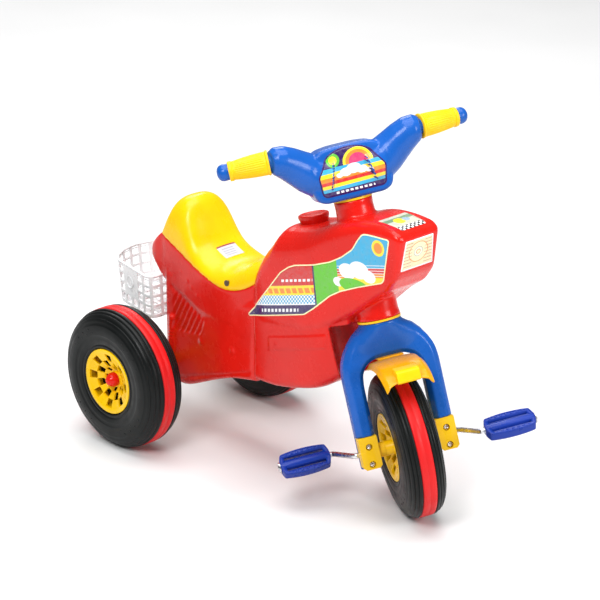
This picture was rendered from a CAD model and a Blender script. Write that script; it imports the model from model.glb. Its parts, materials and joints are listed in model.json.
"""Children's tricycle: the visual model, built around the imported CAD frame."""
import json
import math

import bmesh
import bpy
import numpy as np
from mathutils import Matrix, Vector
from mathutils.bvhtree import BVHTree


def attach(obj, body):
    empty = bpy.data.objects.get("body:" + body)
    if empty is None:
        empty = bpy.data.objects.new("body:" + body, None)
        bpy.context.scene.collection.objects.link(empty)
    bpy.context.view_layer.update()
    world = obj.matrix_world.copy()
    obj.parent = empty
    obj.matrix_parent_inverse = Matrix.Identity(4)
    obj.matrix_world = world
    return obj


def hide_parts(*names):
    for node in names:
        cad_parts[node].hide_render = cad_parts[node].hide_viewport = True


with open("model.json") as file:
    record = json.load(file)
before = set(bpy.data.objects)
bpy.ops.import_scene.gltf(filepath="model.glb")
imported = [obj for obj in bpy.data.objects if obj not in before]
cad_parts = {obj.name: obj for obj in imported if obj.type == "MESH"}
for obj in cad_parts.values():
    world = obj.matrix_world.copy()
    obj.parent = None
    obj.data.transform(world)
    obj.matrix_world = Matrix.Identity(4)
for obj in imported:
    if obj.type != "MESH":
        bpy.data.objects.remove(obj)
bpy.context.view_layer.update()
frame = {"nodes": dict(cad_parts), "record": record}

MM = 0.001


# ---------------------------------------------------------------- places, from the frame

JOINT = {j["name"]: j for j in frame["record"]["behaviour"]["joints"]}
STEER = JOINT["steer"]
FRONT_HUB = Vector(STEER["pos_m"]) / MM
UP_AXIS = Vector(STEER["axis"]).normalized()
SIDE_AXIS = Vector(JOINT["front_wheel_spin"]["axis"]).normalized()
SIDE_AXIS = (SIDE_AXIS - UP_AXIS * SIDE_AXIS.dot(UP_AXIS)).normalized()
AHEAD_AXIS = SIDE_AXIS.cross(UP_AXIS).normalized()
REAR_HUB = Vector(JOINT["rear_wheel_left_spin"]["pos_m"]) / MM


def axes_matrix(x, y, z, origin):
    """A matrix whose columns are the given axes, in metres, for coordinates in millimetres."""
    m = Matrix((x, y, z)).transposed().to_4x4()
    return Matrix.Translation(Vector(origin) * MM) @ m @ Matrix.Scale(MM, 4)


ROOT_MM = Matrix.Scale(MM, 4)
# Steering space: X ahead, Y to the rider's left, Z up along the steering axis, from the front axle
STEERED = axes_matrix(AHEAD_AXIS, SIDE_AXIS, UP_AXIS, FRONT_HUB)
RAKE = math.atan2(-UP_AXIS.x, UP_AXIS.z)
# The same axes with the steering straight, for the pieces of the body round the neck
STRAIGHT = axes_matrix(
    Vector((math.cos(RAKE), 0, math.sin(RAKE))), Vector((0, 1, 0)), UP_AXIS, FRONT_HUB
)


def cad_box(node, space=ROOT_MM):
    """Lowest and highest corner of a CAD node in the given space, in millimetres."""
    back = space.inverted()
    co = [back @ v.co for v in frame["nodes"][node].data.vertices]
    low = Vector([min(c[i] for c in co) for i in range(3)])
    high = Vector([max(c[i] for c in co) for i in range(3)])
    return low, high


# ---------------------------------------------------------------- mesh helpers

def make(name, verts, faces, space=ROOT_MM, smooth=True):
    """A mesh object from vertices in the millimetres of a space."""
    mesh = bpy.data.meshes.new(name)
    mesh.from_pydata([tuple(space @ Vector(v)) for v in verts], [], faces)
    mesh.validate()
    obj = bpy.data.objects.new(name, mesh)
    bpy.context.scene.collection.objects.link(obj)
    outward(obj)
    for p in mesh.polygons:
        p.use_smooth = smooth
    return obj


def outward(obj):
    bm = bmesh.new()
    bm.from_mesh(obj.data)
    bmesh.ops.remove_doubles(bm, verts=bm.verts, dist=1e-6)
    bmesh.ops.recalc_face_normals(bm, faces=bm.faces)
    bm.to_mesh(obj.data)
    bm.free()


def object_of(name, bm):
    """A scene object that holds the bmesh, which is freed."""
    mesh = bpy.data.meshes.new(name)
    bm.to_mesh(mesh)
    bm.free()
    obj = bpy.data.objects.new(name, mesh)
    bpy.context.scene.collection.objects.link(obj)
    return obj


def apply_all(obj):
    """Bakes every modifier into the mesh."""
    graph = bpy.context.evaluated_depsgraph_get()
    mesh = bpy.data.meshes.new_from_object(obj.evaluated_get(graph))
    old = obj.data
    obj.modifiers.clear()
    obj.data = mesh
    bpy.data.meshes.remove(old)
    for p in mesh.polygons:
        p.use_smooth = True
    return obj


def modifier(obj, kind, **values):
    m = obj.modifiers.new(kind.title(), kind)
    for key, value in values.items():
        setattr(m, key, value)
    return m


def join(name, objs):
    """One object from several, with their meshes as they are."""
    bm = bmesh.new()
    for o in objs:
        bm.from_mesh(o.data)
        bpy.data.objects.remove(o)
    return object_of(name, bm)


def fuse(name, objs, voxel, rounds=4):
    """Joins closed shapes into one skin with soft inner corners, as blow moulding leaves them."""
    obj = join(name, objs)
    modifier(obj, "REMESH", mode="VOXEL", voxel_size=voxel * MM)
    if rounds:
        modifier(obj, "SMOOTH", factor=0.5, iterations=rounds)
    return apply_all(obj)


def round_edges(obj, width, segments=3, angle=40):
    modifier(obj, "BEVEL", width=width * MM, segments=segments, limit_method="ANGLE",
             angle_limit=math.radians(angle), harden_normals=True)
    return apply_all(obj)


def catmull(keys, t):
    """Smooth value between the rows of keys, where t runs from 0 to len(keys) - 1."""
    n = len(keys) - 1
    i = min(int(t), n - 1)
    f = t - i
    rows = [np.array(keys[max(0, min(n, k))], float) for k in (i - 1, i, i + 1, i + 2)]
    a, b, c, d = rows
    return 0.5 * (2 * b + (c - a) * f + (2 * a - 5 * b + 4 * c - d) * f**2
                  + (3 * b - a - 3 * c + d) * f**3)


def section(half, low, high, top_r, low_r, steps=8):
    """Outline (y, z) of a box with rounded top and bottom corners, starting on the left."""
    top_r = min(top_r, half - 0.2, (high - low) * 0.49)
    low_r = min(low_r, half - 0.2, (high - low) * 0.49)
    out = []
    for y, z, r, start in (
        (half - top_r, high - top_r, top_r, 0), (top_r - half, high - top_r, top_r, 90),
        (low_r - half, low + low_r, low_r, 180), (half - low_r, low + low_r, low_r, 270),
    ):
        for k in range(steps + 1):
            a = math.radians(start + 90 * k / steps)
            out.append((y + r * math.cos(a), z + r * math.sin(a)))
    return out


def loft(name, stations, space=ROOT_MM, fine=6, steps=6, curve=True):
    """A closed skin along X through [x, half width, low, high, top radius, low radius]."""
    rings = []
    count = (len(stations) - 1) * fine
    for i in range(count + 1):
        t = i / fine
        s = catmull(stations, t) if curve else np.array(stations[i // fine], float)
        rings.append([(s[0], y, z) for y, z in section(*s[1:], steps=steps)])
    return skin(name, rings, space)


def skin(name, rings, space=ROOT_MM, caps=True, closed=True):
    """Faces between rings of equal length, closed at both ends."""
    m = len(rings[0])
    verts = [p for ring in rings for p in ring]
    faces = []
    for i in range(len(rings) - 1):
        for k in range(m if closed else m - 1):
            a, b = i * m + k, i * m + (k + 1) % m
            faces.append((a, b, b + m, a + m))
    if caps:
        faces += [tuple(range(m)), tuple(range(len(verts) - m, len(verts)))]
    return make(name, verts, faces, space)


def lathe(name, profile, space, steps=128, closed=True):
    """Turns an outline of (radius, height) about the space's Z axis."""
    verts, faces = [], []
    m = len(profile)
    for i in range(steps):
        a = 2 * math.pi * i / steps
        verts += [(r * math.cos(a), r * math.sin(a), z) for r, z in profile]
    for i in range(steps):
        j = (i + 1) % steps
        for k in range(m if closed else m - 1):
            n = (k + 1) % m
            faces.append((i * m + k, i * m + n, j * m + n, j * m + k))
    return make(name, verts, faces, space)


def rounded(profile, radius, steps=3, closed=True):
    """The outline with its corners replaced by short curves; radius is one number or one per corner."""
    out = []
    n = len(profile)
    radii = radius if hasattr(radius, "__len__") else [radius] * n
    for i, p in enumerate(profile):
        if not closed and i in (0, n - 1):
            out.append(p)
            continue
        p, a, b = Vector(p), Vector(profile[i - 1]), Vector(profile[(i + 1) % n])
        da, db = a - p, b - p
        cut = min(radii[i], da.length * 0.45, db.length * 0.45)
        a, b = p + da.normalized() * cut, p + db.normalized() * cut
        for k in range(steps + 1):
            t = k / steps
            out.append(tuple(a * (1 - t) ** 2 + p * 2 * t * (1 - t) + b * t**2))
    return out


BOX_FACES = [(0, 1, 3, 2), (4, 6, 7, 5), (0, 4, 5, 1), (2, 3, 7, 6), (0, 2, 6, 4), (1, 5, 7, 3)]


def box(name, low, high, space=ROOT_MM, bevel=0.0, segments=3):
    (a, b, c), (d, e, f) = low, high
    verts = [(x, y, z) for x in (a, d) for y in (b, e) for z in (c, f)]
    obj = make(name, verts, BOX_FACES, space)
    return round_edges(obj, bevel, segments) if bevel else obj


def tube(name, points, radius, space=ROOT_MM, steps=16):
    """A round bar along points; radius is one number or one per point."""
    pts = [Vector(p) for p in points]
    radii = radius if hasattr(radius, "__len__") else [radius] * len(pts)
    rings = []
    side = None
    for i, p in enumerate(pts):
        along = (pts[min(i + 1, len(pts) - 1)] - pts[max(i - 1, 0)]).normalized()
        if side is None:
            side = along.orthogonal().normalized()
        side = (side - along * side.dot(along)).normalized()
        other = along.cross(side)
        turn = [2 * math.pi * k / steps for k in range(steps)]
        rings.append([p + (side * math.cos(a) + other * math.sin(a)) * radii[i] for a in turn])
    return skin(name, rings, space)


def prism(name, outline, low, high, space=ROOT_MM, plane="yz"):
    """An outline in the given plane, extruded from low to high along the third axis."""
    place = {"yz": lambda p, h: (h, p[0], p[1]), "xz": lambda p, h: (p[0], h, p[1]),
             "xy": lambda p, h: (p[0], p[1], h)}[plane]
    return skin(name, [[place(p, low) for p in outline], [place(p, high) for p in outline]], space)


def cut(obj, tools):
    """Takes the tools away from obj."""
    tool = join("cutter", tools)
    outward(tool)
    modifier(obj, "BOOLEAN", operation="DIFFERENCE", object=tool, solver="EXACT")
    apply_all(obj)
    bpy.data.objects.remove(tool)
    return obj


def put(obj, body, slot, mat, *replaced):
    """Gives a finished piece its body, slot, material and the CAD nodes that it stands for."""
    obj.data.materials.clear()
    for m in mat if isinstance(mat, (list, tuple)) else (mat,):
        obj.data.materials.append(m)
    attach(obj, body)
    if replaced:
        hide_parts(*replaced)
    return obj


# ---------------------------------------------------------------- materials

def srgb(r, g, b):
    """Linear colour from 0-255 values."""
    return tuple((c / 255 / 12.92) if c < 11 else ((c / 255 + 0.055) / 1.055) ** 2.4
                 for c in (r, g, b))


def shade(colour, k):
    return tuple(min(1.0, c * k) for c in colour) + (1.0,)


class Nodes:
    """Short calls for a material's node tree."""

    def __init__(self, name):
        self.mat = bpy.data.materials.new(name)
        self.mat.use_nodes = True
        self.tree = self.mat.node_tree
        self.shader = self.tree.nodes["Principled BSDF"]
        self.place = self.add("ShaderNodeTexCoord").outputs["Object"]

    def add(self, kind, **values):
        node = self.tree.nodes.new(kind)
        for key, value in values.items():
            setattr(node, key, value)
        return node

    def link(self, a, b):
        self.tree.links.new(a, b)

    def put(self, socket, value):
        if isinstance(value, bpy.types.NodeSocket):
            self.link(value, socket)
        else:
            socket.default_value = value

    def set(self, **values):
        for key, value in values.items():
            self.shader.inputs[key.replace("_", " ")].default_value = value

    def math(self, op, a, b=0.0, c=0.0):
        node = self.add("ShaderNodeMath", operation=op)
        for socket, value in zip(node.inputs, (a, b, c)):
            self.put(socket, value)
        return node.outputs[0]

    def noise(self, scale, detail=3.0, rough=0.5):
        node = self.add("ShaderNodeTexNoise")
        self.link(self.place, node.inputs["Vector"])
        node.inputs["Scale"].default_value = scale
        node.inputs["Detail"].default_value = detail
        node.inputs["Roughness"].default_value = rough
        return node.outputs["Fac"]

    def ramp(self, value, low, high, a, b):
        """Goes smoothly from a to b while value goes from low to high."""
        node = self.add("ShaderNodeMapRange", interpolation_type="SMOOTHSTEP")
        for socket, v in zip(node.inputs, (value, low, high, a, b)):
            self.put(socket, v)
        return node.outputs[0]

    def mix(self, mask, a, b):
        node = self.add("ShaderNodeMix", data_type="RGBA")
        self.put(node.inputs["Factor"], mask)
        self.put(node.inputs["A"], a)
        self.put(node.inputs["B"], b)
        return node.outputs["Result"]

    def bump(self, height, distance, below=None):
        node = self.add("ShaderNodeBump")
        node.inputs["Strength"].default_value = 1.0
        node.inputs["Distance"].default_value = distance
        self.link(height, node.inputs["Height"])
        if below:
            self.link(below, node.inputs["Normal"])
        return node.outputs["Normal"]


def plastic(name, colour, rough, wave=0.0004, grain=0.00003, spread=0.10, coat=0.0, worn=0.1,
            gloss=0.25):
    """Moulded plastic: cloudy colour, uneven gloss, moulding waves, fine grain and paler worn edges."""
    n = Nodes(name)
    cloud = n.ramp(n.noise(11, 4), 0.3, 0.7, 0.0, 1.0)
    speck = n.ramp(n.noise(420, 2), 0.62, 0.78, 0.0, 0.35)
    base = n.mix(cloud, shade(colour, 1 - spread), shade(colour, 1 + spread))
    base = n.mix(speck, base, shade(colour, 1.25))
    edge = n.ramp(n.add("ShaderNodeNewGeometry").outputs["Pointiness"], 0.53, 0.60, 0.0, worn)
    pale = tuple(0.75 * c + 0.25 for c in colour) + (1.0,)
    n.link(n.mix(edge, base, pale), n.shader.inputs["Base Color"])
    streak = n.ramp(n.noise(34, 5, 0.65), 0.3, 0.75, rough * 0.8, rough * 1.35)
    n.link(streak, n.shader.inputs["Roughness"])
    skin_bump = n.bump(n.noise(26, 2), wave)
    n.link(n.bump(n.noise(900, 2), grain, skin_bump), n.shader.inputs["Normal"])
    n.set(Coat_Weight=coat, Coat_Roughness=0.08, Specular_IOR_Level=gloss)
    return n.mat


def brushed_steel():
    n = Nodes("plated_steel")
    cloud = n.ramp(n.noise(60, 5, 0.7), 0.35, 0.7, 0.0, 1.0)
    n.link(n.mix(cloud, (0.55, 0.55, 0.57, 1), (0.78, 0.78, 0.80, 1)), n.shader.inputs["Base Color"])
    n.link(n.ramp(n.noise(150, 4), 0.3, 0.7, 0.18, 0.42), n.shader.inputs["Roughness"])
    n.link(n.bump(n.noise(700, 2), 0.00005), n.shader.inputs["Normal"])
    n.set(Metallic=1.0)
    return n.mat


def clear_white():
    """Thin translucent white plastic."""
    n = Nodes("basket_plastic")
    cloud = n.ramp(n.noise(30, 3), 0.3, 0.7, 0.0, 1.0)
    n.link(n.mix(cloud, (0.90, 0.92, 0.93, 1), (0.97, 0.98, 0.99, 1)), n.shader.inputs["Base Color"])
    n.link(n.ramp(n.noise(90, 4), 0.3, 0.7, 0.22, 0.38), n.shader.inputs["Roughness"])
    n.link(n.bump(n.noise(500, 2), 0.00006), n.shader.inputs["Normal"])
    n.set(Transmission_Weight=0.08, IOR=1.45)
    return n.mat


class Art(Nodes):
    """A printed film, painted with layers in the millimetres of a space."""

    def __init__(self, name, space, ground):
        super().__init__(name)
        back = space.inverted()
        turn = self.add("ShaderNodeMapping")
        turn.inputs["Location"].default_value = back.translation
        turn.inputs["Rotation"].default_value = back.to_euler()
        turn.inputs["Scale"].default_value = back.to_scale()
        self.link(self.place, turn.inputs["Vector"])
        split = self.add("ShaderNodeSeparateXYZ")
        self.link(turn.outputs[0], split.inputs[0])
        self.x, self.y, self.z = split.outputs
        self.colour = shade(ground, 1)

    def line(self, a, b, k):
        """a + k * b"""
        return self.math("MULTIPLY_ADD", b, k, a)

    def between(self, v, low, high):
        inside = self.math("GREATER_THAN", v, low)
        return self.math("MULTIPLY", inside, self.math("LESS_THAN", v, high))

    def both(self, *masks):
        out = masks[0]
        for m in masks[1:]:
            out = self.math("MULTIPLY", out, m)
        return out

    def disc(self, u, v, cu, cv, r, squash=1.0):
        du = self.math("SUBTRACT", u, cu)
        dv = self.math("MULTIPLY", self.math("SUBTRACT", v, cv), squash)
        far = self.math("ADD", self.math("MULTIPLY", du, du), self.math("MULTIPLY", dv, dv))
        return self.math("LESS_THAN", far, r * r)

    def stripes(self, v, pitch, share=0.5):
        return self.math("LESS_THAN", self.math("FLOORED_MODULO", v, pitch), pitch * share)

    def paint(self, mask, colour):
        self.colour = self.mix(mask, self.colour, shade(colour, 1))

    def done(self, rough=0.28):
        """Ends the film: slightly uneven ink under a clear gloss."""
        ink = self.ramp(self.noise(160, 3), 0.3, 0.7, 0.0, 0.14)
        self.link(self.mix(ink, self.colour, (0.30, 0.30, 0.32, 1)), self.shader.inputs["Base Color"])
        self.link(self.ramp(self.noise(70, 3), 0.3, 0.7, rough * 0.8, rough * 1.4),
                  self.shader.inputs["Roughness"])
        self.link(self.bump(self.noise(260, 2), 0.00006), self.shader.inputs["Normal"])
        self.set(Coat_Weight=0.3, Coat_Roughness=0.1)
        return self.mat


RED = srgb(216, 26, 16)
YELLOW = srgb(246, 196, 0)
ORANGE = srgb(226, 160, 6)
BLUE = srgb(20, 88, 176)
DEEP_BLUE = srgb(10, 48, 146)
BLACK = srgb(12, 15, 15)
CREAM = srgb(255, 240, 190)
WHITE = srgb(245, 246, 248)
CYAN = srgb(50, 170, 215)
GREEN = srgb(95, 195, 30)
PURPLE = srgb(48, 18, 92)
SUN = srgb(255, 225, 30)
PRINT_RED = srgb(210, 35, 30)
PRINT_ORANGE = srgb(245, 140, 30)

BODY_RED = plastic("body_red", RED, 0.25, wave=0.0006, coat=0.1, spread=0.06, worn=0.03)
CAP_RED = plastic("cap_red", RED, 0.22, coat=0.1, worn=0.05)
SEAT_YELLOW = plastic("seat_yellow", YELLOW, 0.27, wave=0.0005, coat=0.1, worn=0.05)
PART_YELLOW = plastic("part_yellow", YELLOW, 0.3, worn=0.08)
GRIP_YELLOW = plastic("grip_yellow", YELLOW, 0.38, worn=0.12)
GUARD_ORANGE = plastic("guard_orange", ORANGE, 0.26, coat=0.1, worn=0.06)
PART_BLUE = plastic("part_blue", BLUE, 0.26, wave=0.0005, coat=0.1, spread=0.10, worn=0.05)
PEDAL_BLUE = plastic("pedal_blue", DEEP_BLUE, 0.3, worn=0.06)
WHEEL_BLACK = plastic("wheel_black", BLACK, 0.38, wave=0.0004, spread=0.2, worn=0.0, gloss=0.2)
TREAD_RED = plastic("tread_red", srgb(214, 24, 26), 0.42, grain=0.00008, worn=0.03)
STEEL = brushed_steel()
DARK_STEEL = plastic("dark_steel", srgb(70, 52, 36), 0.4, gloss=0.4)
BASKET_WHITE = clear_white()


# ---------------------------------------------------------------- body

NECK_LOW, NECK_HIGH = cad_box("neck_bush_lower", STRAIGHT), cad_box("neck_bush_upper", STRAIGHT)
AXLE_Z = REAR_HUB.z
NECK_FOOT_S = NECK_LOW[0].z + 3
NECK_TOP_S = NECK_HIGH[1].z - 3
NECK_R, NECK_TOP_R = 32.0, 28.5
NECK_POINT = STRAIGHT @ Vector((0, 0, NECK_TOP_S)) / MM
NX, NZ = NECK_POINT.x, NECK_POINT.z
SEAT_Z = AXLE_Z + 184

# The seat's lower edge: x, half width, height; and its crown: height over the edge line's zero
SEAT_EDGE = [
    (-21.5, 45, 19), (-12, 47, 16), (2, 49, 12), (30, 52, 3), (63, 55, -9), (101, 58.5, -18.5),
    (131, 60, -23), (156, 60, -20), (178, 58, -12), (190, 55, -5), (199.5, 52, 2),
]
SEAT_CROWN = [30, 60, 78, 75, 23, 2.5, 1.5, 13, 26, 31, 36]


def seat_ring(x, half, low, high, square, steps=40):
    """Half a rounded hoop over the seat, from its left edge to its right one."""
    out = []
    for k in range(steps + 1):
        a = math.pi * k / steps
        c, s = math.cos(a), math.sin(a)
        y = half * math.copysign(abs(c) ** (2 / square), c)
        z = low + (high - low) * s ** (2 / (square - 0.5))
        out.append((x, y, z))
    return out


def seat_shape():
    keys = [(x, h, SEAT_Z + z - 2.0, SEAT_Z + c, 2.9 if c > 50 else 2.6)
            for (x, h, z), c in zip(SEAT_EDGE, SEAT_CROWN)]
    rings = []
    fine = 8
    for i in range((len(keys) - 1) * fine + 1):
        x, half, low, high, square = catmull(keys, i / fine)
        rings.append(seat_ring(x, half + 0.5, low, high, square))
    # The rear wall of the backrest rounds in to a flat foot
    first = rings[0]
    mid_z = (first[0][2] + max(p[2] for p in first)) / 2
    rings.insert(0, [(p[0] - 0.4, p[1] * 0.94, mid_z + (p[2] - mid_z) * 0.9) for p in first])
    return rings


def seat():
    obj = skin("seat_skin", seat_shape(), closed=True)
    modifier(obj, "REMESH", mode="VOXEL", voxel_size=1.9 * MM)
    modifier(obj, "SMOOTH", factor=0.5, iterations=7)
    apply_all(obj)
    screw = Vector((144, 0, SEAT_Z - 13))

    def relief(p, n):
        down = np.hypot(p[:, 0] - screw.x, p[:, 2] - screw.z)
        side = smooth(np.abs(n[:, 1]), 0.3, 0.6)
        hole = -3.2 * (1 - smooth(down, 2.6, 3.6)) * side
        rim = 0.5 * bell(down - 4.4, 0.8) * side
        return hole + rim

    emboss(obj, relief)
    return put(obj, "frame", "seat_yellow", SEAT_YELLOW, "seat")


def smooth(v, a, b):
    t = np.clip((v - a) / (b - a), 0, 1)
    return t * t * (3 - 2 * t)


def bell(v, w):
    return np.exp(-(v / w) ** 2)


def to_space(space, p):
    """Points in millimetres of the object's frame, given in a space."""
    m = np.array(space.inverted() @ Matrix.Scale(MM, 4))
    return p @ m[:3, :3].T + m[:3, 3]


def emboss(obj, relief):
    """Moves the skin along its normals by relief(points in millimetres, normals)."""
    mesh = obj.data
    count = len(mesh.vertices)
    co, normal = np.empty(count * 3), np.empty(count * 3)
    mesh.vertices.foreach_get("co", co)
    mesh.vertices.foreach_get("normal", normal)
    co, normal = co.reshape(-1, 3), normal.reshape(-1, 3)
    co += normal * (relief(co / MM, normal) * MM)[:, None]
    mesh.vertices.foreach_set("co", co.ravel())
    mesh.update()


def fin_roof(x):
    """Height of the lower edge of the bar under the seat, where the fins end."""
    return np.maximum(SEAT_Z - 86, SEAT_Z - 59 - 0.36 * np.maximum(0.0, x))


def body_lofts():
    flank = [(-57, 30, SEAT_Z - 30, SEAT_Z - 14, 8, 8), (-52, 39, SEAT_Z - 35, SEAT_Z - 4, 12, 12),
             (-38, 44.5, SEAT_Z - 43, SEAT_Z + 9, 12, 12)]
    for x, half, z in SEAT_EDGE:
        low = fin_roof(x)
        flank.append((x, half, low, SEAT_Z + z, 3.5, 11))
    tank = [
        (198, 53, AXLE_Z + 120, SEAT_Z + 36, 44, 18), (205, 57, AXLE_Z + 120, SEAT_Z + 45, 46, 20),
        (211, 59.5, AXLE_Z + 120, SEAT_Z + 54, 46, 20), (222, 61.5, AXLE_Z + 121, SEAT_Z + 68, 46, 20),
        (234, 62.5, AXLE_Z + 124, NZ - 82, 46, 20), (251, 63, AXLE_Z + 127, NZ - 63, 43, 20),
        (274, 63, AXLE_Z + 130, NZ - 57, 40, 20), (320, 62, AXLE_Z + 140, NZ - 45, 34, 20),
        (360, 58, NZ - 185, NZ - 26, 28, 16), (400, 52, NZ - 155, NZ - 11, 22, 12),
        (NX + 84, 45.5, NZ - 123, NZ - 6, 14, 12), (NX + 118, 43.5, NZ - 98, NZ - 7, 10, 10),
        (NX + 128, 42.5, NZ - 90, NZ - 10, 9, 9), (NX + 134, 40, NZ - 82, NZ - 13, 8, 8),
        (NX + 137.5, 35.5, NZ - 72, NZ - 19, 8, 8),
    ]
    engine = [
        (197, 52, AXLE_Z + 45, AXLE_Z + 135, 10, 10), (205, 59, AXLE_Z + 33, AXLE_Z + 148, 12, 12),
        (214, 60.5, AXLE_Z + 32, AXLE_Z + 151, 14, 14), (250, 61, AXLE_Z + 35, AXLE_Z + 160, 14, 14),
        (300, 60.5, AXLE_Z + 47, AXLE_Z + 180, 14, 14), (338, 57, AXLE_Z + 60, AXLE_Z + 190, 14, 14),
        (366, 50, AXLE_Z + 78, AXLE_Z + 200, 14, 14), (388, 42, AXLE_Z + 98, AXLE_Z + 205, 14, 14),
    ]
    rear = [
        (-11.5, 45, AXLE_Z - 31, SEAT_Z - 34, 8, 10), (-6, 49.5, AXLE_Z - 35, SEAT_Z - 34, 9, 10),
        (12, 50.5, AXLE_Z - 35, SEAT_Z - 36, 9, 11), (40, 52, AXLE_Z - 31, SEAT_Z - 39, 10, 11),
        (95, 56.5, AXLE_Z - 6, SEAT_Z - 48, 8, 12), (125, 59, AXLE_Z + 7, SEAT_Z - 44, 8, 12),
        (150, 59.3, AXLE_Z + 16, SEAT_Z - 36, 14, 12), (190, 59.3, AXLE_Z + 25, SEAT_Z - 22, 22, 12),
        (202, 59, AXLE_Z + 27, SEAT_Z - 16, 24, 12),
    ]
    return flank, tank, engine, rear


def neck_shape():
    """The neck flares a little at both ends, where it meets the flanged bushes."""
    s0, s1 = NECK_FOOT_S, NECK_TOP_S
    outline = [(0, s0), (NECK_R - 0.3, s0), (NECK_R, s0 + 2), (NECK_R - 1.2, s0 + 8),
               (NECK_R - 1.6, s0 + 60), (NECK_TOP_R + 0.4, s1 - 30), (NECK_TOP_R - 0.8, s1 - 10),
               (NECK_TOP_R, s1 - 2), (NECK_TOP_R - 0.5, s1), (0, s1)]
    return lathe("neck", outline, STRAIGHT, 72)


def filler_space():
    lean = math.radians(15)
    across = Vector((math.cos(lean), 0, math.sin(lean)))
    up = Vector((-math.sin(lean), 0, math.cos(lean)))
    low, high = cad_box("tank_cap")
    centre = Vector(((low.x + high.x) / 2, 0, (low.z + high.z) / 2))
    return axes_matrix(across, Vector((0, 1, 0)), up, centre)


def spring(side):
    """The coil spring that is moulded into the body behind each rear wheel's shoulder."""
    points = [(4 + 0.05 * k, side * 49.5, 128 + k * 0.9) for k in range(0, 66)]
    radii = [6.2 + 1.2 * math.cos(2 * math.pi * k * 0.9 / 5.4) for k in range(0, 66)]
    return tube("spring", points, radii, steps=24)


def fin_relief(p, n):
    """Slanted cooling fins, lower ledge, rivets, buttons and the framed panel of the engine."""
    x, y, z = p.T
    side = smooth(np.abs(n[:, 1]), 0.4, 0.75)
    h = np.zeros(len(p))
    across = x - 0.57 * (z - AXLE_Z)
    wave = 0.5 - 0.5 * np.cos(2 * np.pi * across / 11.5)
    roof = fin_roof(x)
    region = smooth(x, 8, 14) * (1 - smooth(x, 76, 90)) * smooth(z, 158 + 0.18 * x, 168 + 0.18 * x)
    region *= (1 - smooth(z, roof - 6, roof)) * side
    h -= 2.3 * (1 - wave) * region
    h -= 2.0 * bell(z - roof, 4.5) * side * smooth(x, 0, 8) * (1 - smooth(x, 70, 105))
    ledge = AXLE_Z - 22 + 0.37 * np.clip(x - 24, 0, 200)
    h -= 1.8 * bell(z - ledge, 3.2) * side * smooth(x, 6, 20) * (1 - smooth(x, 190, 204))
    for bx, bz, r, up in ((31, 265, 2.4, 1.0), (47, 256, 2.4, 1.0), (58, 248, 2.4, 1.0),
                          (72, 239, 2.4, 1.0), (79, 166, 5.0, 1.8), (155, 176, 4.5, 1.5),
                          (256, 219, 2.2, 1.0)):
        h += up * bell(np.hypot(x - bx, z - bz), r) * side
    rise = z - 0.31 * (x - 232)
    frame_in = smooth(x, 238, 241) * (1 - smooth(x, 352, 355))
    frame_in *= smooth(rise, 200, 202.5) * (1 - smooth(rise, 221, 223.5))
    h += 1.5 * frame_in * side
    # A soft valley where the engine meets the rear block
    h -= 1.3 * bell(x - 203 - 0.05 * (z - 190), 3.5) * side * (1 - smooth(z, 196, 222))
    return h


def lean_face(tank):
    """The front face of the steering head slopes back towards its lower edge."""
    for v in tank.data.vertices:
        x, _, z = v.co / MM
        v.co.x -= 0.13 * max(0.0, NZ - 22 - z) * float(smooth(x, NX + 108, NX + 134)) * MM


def body():
    shapes = [loft(f"loft_{i}", s) for i, s in enumerate(body_lofts())]
    lean_face(shapes[1])
    swept = lathe("swept", [(0, -60), (75.6, -60), (75.6, NECK_FOOT_S), (0, NECK_FOOT_S)], STRAIGHT, 96)
    cut(shapes[1], [twin(swept)])
    cut(shapes[2], [swept])
    outline = rounded([(0, -18), (24, -18), (22.5, -8.3), (0, -8.3)], 1.5)
    boss = lathe("boss", outline, filler_space(), 64)
    shapes += [neck_shape(), boss, spring(1), spring(-1)]
    obj = fuse("body_skin", shapes, 1.9, 5)
    emboss(obj, fin_relief)
    return put(obj, "frame", "body_red", BODY_RED, "body_shell")


def twin(obj):
    other = bpy.data.objects.new(obj.name + "_twin", obj.data.copy())
    bpy.context.scene.collection.objects.link(other)
    return other


# ---------------------------------------------------------------- printed films

def inset(outline, d):
    """The outline moved inwards by d; it runs anticlockwise."""
    pts = [Vector(p) for p in outline]
    area = sum(a.x * b.y - b.x * a.y for a, b in zip(pts, pts[1:] + pts[:1]))
    sign = 1 if area > 0 else -1
    out = []
    for i, p in enumerate(pts):
        e1, e2 = (p - pts[i - 1]).normalized(), (pts[(i + 1) % len(pts)] - p).normalized()
        n1, n2 = Vector((-e1.y, e1.x)) * sign, Vector((-e2.y, e2.x)) * sign
        mean = (n1 + n2).normalized()
        out.append(tuple(p + mean * d / max(0.5, mean.dot(n1))))
    return out


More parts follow.
